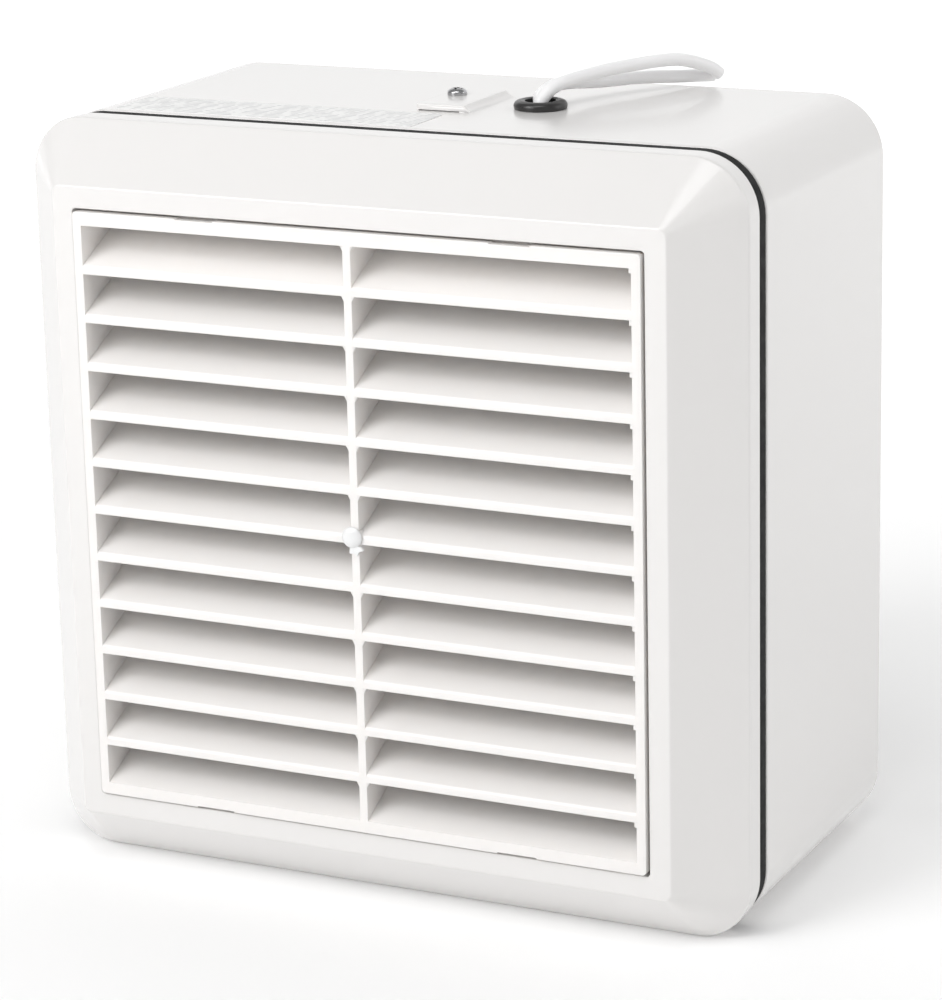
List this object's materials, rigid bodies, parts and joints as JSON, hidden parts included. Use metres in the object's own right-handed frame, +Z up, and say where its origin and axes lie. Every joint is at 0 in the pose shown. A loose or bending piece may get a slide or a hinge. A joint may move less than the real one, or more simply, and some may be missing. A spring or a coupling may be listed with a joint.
{
  "type": "bathroom extractor fan",
  "caption": "Square wall extractor fan: sloped-border bezel, snap-in louvre grille with lens, deep rear casing, axial impeller, linked back-draught shutter and cut supply lead.",
  "frame": {"origin": "under the middle of the body, on the plane of the casing's flat bottom face", "axes": "+Z up, +Y from the louvred front towards the duct spigot, +X to the right as seen from the front"},
  "size_m": [0.24, 0.158, 0.2518],
  "materials": {
    "housing_plastic": "smooth moulded white plastic, high gloss",
    "grille_plastic": "smooth moulded white plastic, high gloss",
    "inner_plastic": "off-white moulded plastic, satin",
    "bobbin_plastic": "natural nylon, satin",
    "shutter_plastic": "thin white moulded plastic, satin",
    "impeller_plastic": "grey glass-filled plastic, satin",
    "lens_clear": "clear moulded acrylic, polished",
    "seal_rubber": "black foam rubber, dull",
    "grommet_rubber": "black moulded rubber, slightly shiny",
    "cable_sheath": "white flexible PVC sheath, satin",
    "label_film": "pale grey adhesive film, satin",
    "screw_chrome": "bright chrome plate",
    "screw_steel": "zinc-plated steel",
    "zinc_steel": "zinc-plated pressed sheet, satin",
    "core_steel": "stacked electrical sheet, dull grey",
    "bright_steel": "ground steel, bright",
    "bearing_bronze": "oil-filled sintered bronze, dull",
    "winding_copper": "varnished copper wire",
    "nut_brass": "turned brass, satin"
  },
  "bodies": {
    "housing": {"front_bezel": "housing_plastic", "rear_casing": "housing_plastic", "duct_spigot": "housing_plastic", "front_gasket": "seal_rubber", "rating_label": "label_film", "case_screw": "screw_chrome", "cable_grommet": "grommet_rubber", "supply_lead_blue": "cable_sheath", "supply_lead_brown": "cable_sheath", "lead_tail_blue": "cable_sheath", "lead_tail_brown": "cable_sheath", "motor_lead": "cable_sheath", "fan_plate": "inner_plastic", "motor_bracket": "zinc_steel", "stator_core": "core_steel", "coil_bobbin": "bobbin_plastic", "coil_winding": "winding_copper", "front_bearing_bracket": "zinc_steel", "rear_bearing_bracket": "zinc_steel", "front_bearing": "bearing_bronze", "rear_bearing": "bearing_bronze", "motor_screw_left": "screw_steel", "motor_screw_right": "screw_steel", "shutter_frame": "inner_plastic", "actuator_body": "nut_brass", "return_spring": "bright_steel", "terminal_tray": "inner_plastic", "terminal_block": "bobbin_plastic", "terminal_screw_live": "nut_brass", "terminal_screw_neutral": "nut_brass", "bezel_screw_1": "screw_steel", "bezel_screw_2": "screw_steel", "bezel_screw_3": "screw_steel", "bezel_screw_4": "screw_steel", "plate_screw_1": "screw_steel", "plate_screw_2": "screw_steel", "plate_screw_3": "screw_steel", "plate_screw_4": "screw_steel", "bracket_screw_1": "screw_steel", "bracket_screw_2": "screw_steel", "bracket_screw_3": "screw_steel", "bracket_screw_4": "screw_steel", "shutter_screw_1": "screw_steel", "shutter_screw_2": "screw_steel", "shutter_screw_3": "screw_steel", "shutter_screw_4": "screw_steel"},
    "grille": {"louvre_grille": "grille_plastic", "indicator_lens": "lens_clear"},
    "fan_rotor": {"motor_rotor": "core_steel", "motor_shaft": "bright_steel", "impeller": "impeller_plastic", "impeller_nut": "nut_brass"},
    "shutter_1": {"shutter_blade_1": "shutter_plastic"},
    "shutter_2": {"shutter_blade_2": "shutter_plastic"},
    "shutter_3": {"shutter_blade_3": "shutter_plastic"},
    "shutter_4": {"shutter_blade_4": "shutter_plastic"},
    "shutter_5": {"shutter_blade_5": "shutter_plastic"},
    "link": {"shutter_link": "impeller_plastic"},
    "plunger": {"actuator_plunger": "bright_steel"}
  },
  "joints": [
    {"name": "grille_release", "type": "slide", "parent": "housing", "child": "grille", "axis": [0, -1, 0], "range_m": [0, 0.03]},
    {"name": "fan_spin", "type": "hinge", "parent": "housing", "child": "fan_rotor", "pos_m": [0, 0, 0.12], "axis": [0, 1, 0], "continuous": true},
    {"name": "shutter_1_turn", "type": "hinge", "parent": "housing", "child": "shutter_1", "pos_m": [0, 0.0375, 0.18], "axis": [-1, 0, 0], "range_deg": [0, 80]},
    {"name": "shutter_2_turn", "type": "hinge", "parent": "housing", "child": "shutter_2", "pos_m": [0, 0.0375, 0.15], "axis": [-1, 0, 0], "range_deg": [0, 80]},
    {"name": "shutter_3_turn", "type": "hinge", "parent": "housing", "child": "shutter_3", "pos_m": [0, 0.0375, 0.12], "axis": [-1, 0, 0], "range_deg": [0, 80]},
    {"name": "shutter_4_turn", "type": "hinge", "parent": "housing", "child": "shutter_4", "pos_m": [0, 0.0375, 0.09], "axis": [-1, 0, 0], "range_deg": [0, 80]},
    {"name": "shutter_5_turn", "type": "hinge", "parent": "housing", "child": "shutter_5", "pos_m": [0, 0.0375, 0.06], "axis": [-1, 0, 0], "range_deg": [0, 80]},
    {"name": "link_turn", "type": "hinge", "parent": "shutter_1", "child": "link", "pos_m": [-0.0762, 0.02984, 0.17357], "axis": [-1, 0, 0], "range_deg": [-80, 0]},
    {"name": "plunger_lift", "type": "slide", "parent": "housing", "child": "plunger", "axis": [0, 0, 1], "range_m": [0, 0.01286], "stiffness_N_per_m": 100, "springref_m": -0.015, "deforming": ["return_spring"]}
  ],
  "couplings": [
    {"joint": "shutter_1_turn", "follows": "plunger_lift", "rad_per_m": 108.57},
    {"joint": "shutter_2_turn", "follows": "plunger_lift", "rad_per_m": 108.57},
    {"joint": "shutter_3_turn", "follows": "plunger_lift", "rad_per_m": 108.57},
    {"joint": "shutter_4_turn", "follows": "plunger_lift", "rad_per_m": 108.57},
    {"joint": "shutter_5_turn", "follows": "plunger_lift", "rad_per_m": 108.57},
    {"joint": "link_turn", "follows": "plunger_lift", "rad_per_m": -108.57}
  ]
}
